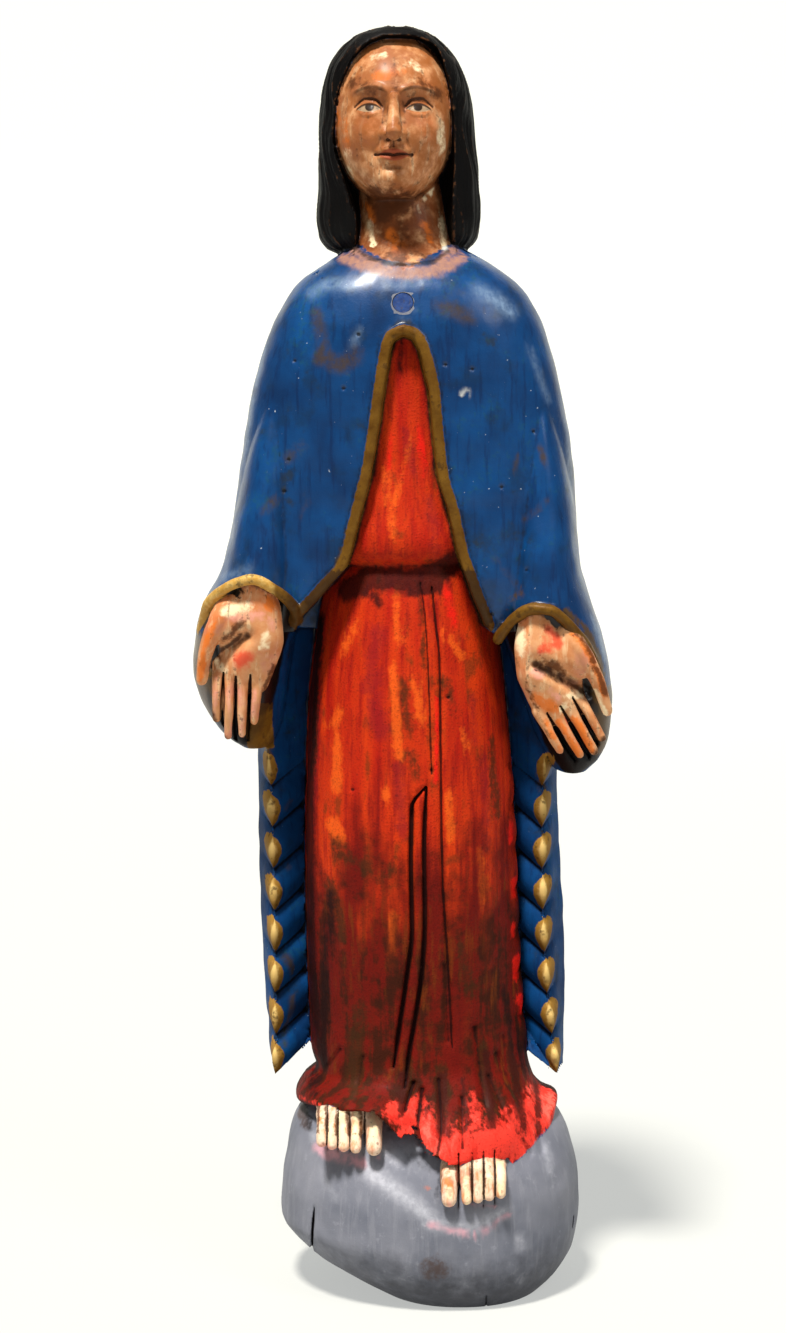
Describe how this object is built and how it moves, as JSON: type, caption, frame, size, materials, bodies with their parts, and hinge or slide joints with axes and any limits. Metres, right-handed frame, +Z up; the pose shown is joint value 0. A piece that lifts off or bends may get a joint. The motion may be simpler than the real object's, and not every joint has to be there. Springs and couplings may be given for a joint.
{
  "type": "carved wooden jesus statue",
  "caption": "Carved and painted wooden figure that stands barefoot on a rounded rock, in a mantle over a long robe, with lowered open palms, whole with its base.",
  "frame": {"origin": "on the flat underside of the rock, straight below the figure's neck", "axes": "+Z up along the figure, -Y the way the figure faces, +X to the right of someone looking at its face"},
  "size_m": [0.2032, 0.1324, 0.6095],
  "materials": {
    "painted_wood": "hand painted in blue, red, ochre gold, flesh, black and grey over carved wood, worn and varnished, semi-gloss",
    "plug_wood": "turned wooden plug overpainted in the mantle's blue, semi-gloss"
  },
  "bodies": {
    "root": {"statue": "painted_wood", "chest_plug": "plug_wood"}
  },
  "joints": []
}
